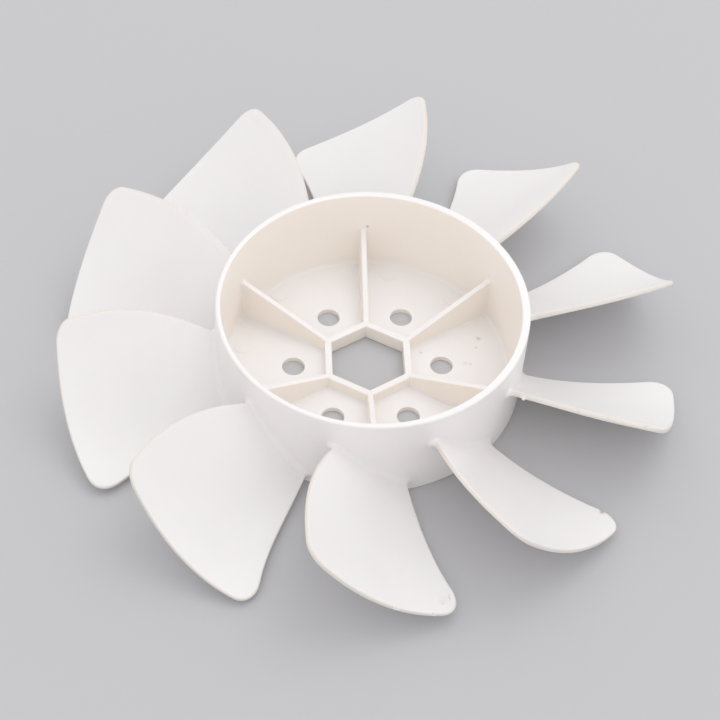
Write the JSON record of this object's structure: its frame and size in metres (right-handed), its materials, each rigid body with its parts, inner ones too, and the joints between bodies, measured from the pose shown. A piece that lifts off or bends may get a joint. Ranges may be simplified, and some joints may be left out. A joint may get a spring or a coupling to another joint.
{
  "type": "transmission cooling fan",
  "caption": "One-piece moulded axial cooling fan: a cup-shaped hub with a ribbed floor, a hexagonal centre hole and bolt holes, and cambered blades round it.",
  "frame": {"origin": "centre of the hub's flat underside, which is also the middle of the part's lowest face", "axes": "+Z along the fan's axis, from the hub's flat floor towards its open mouth"},
  "size_m": [0.178, 0.178, 0.0314],
  "materials": {
    "natural_nylon": "natural moulded nylon, ivory white, slightly translucent, soft satin"
  },
  "bodies": {
    "root": {"cooling_fan": "natural_nylon"}
  },
  "joints": []
}
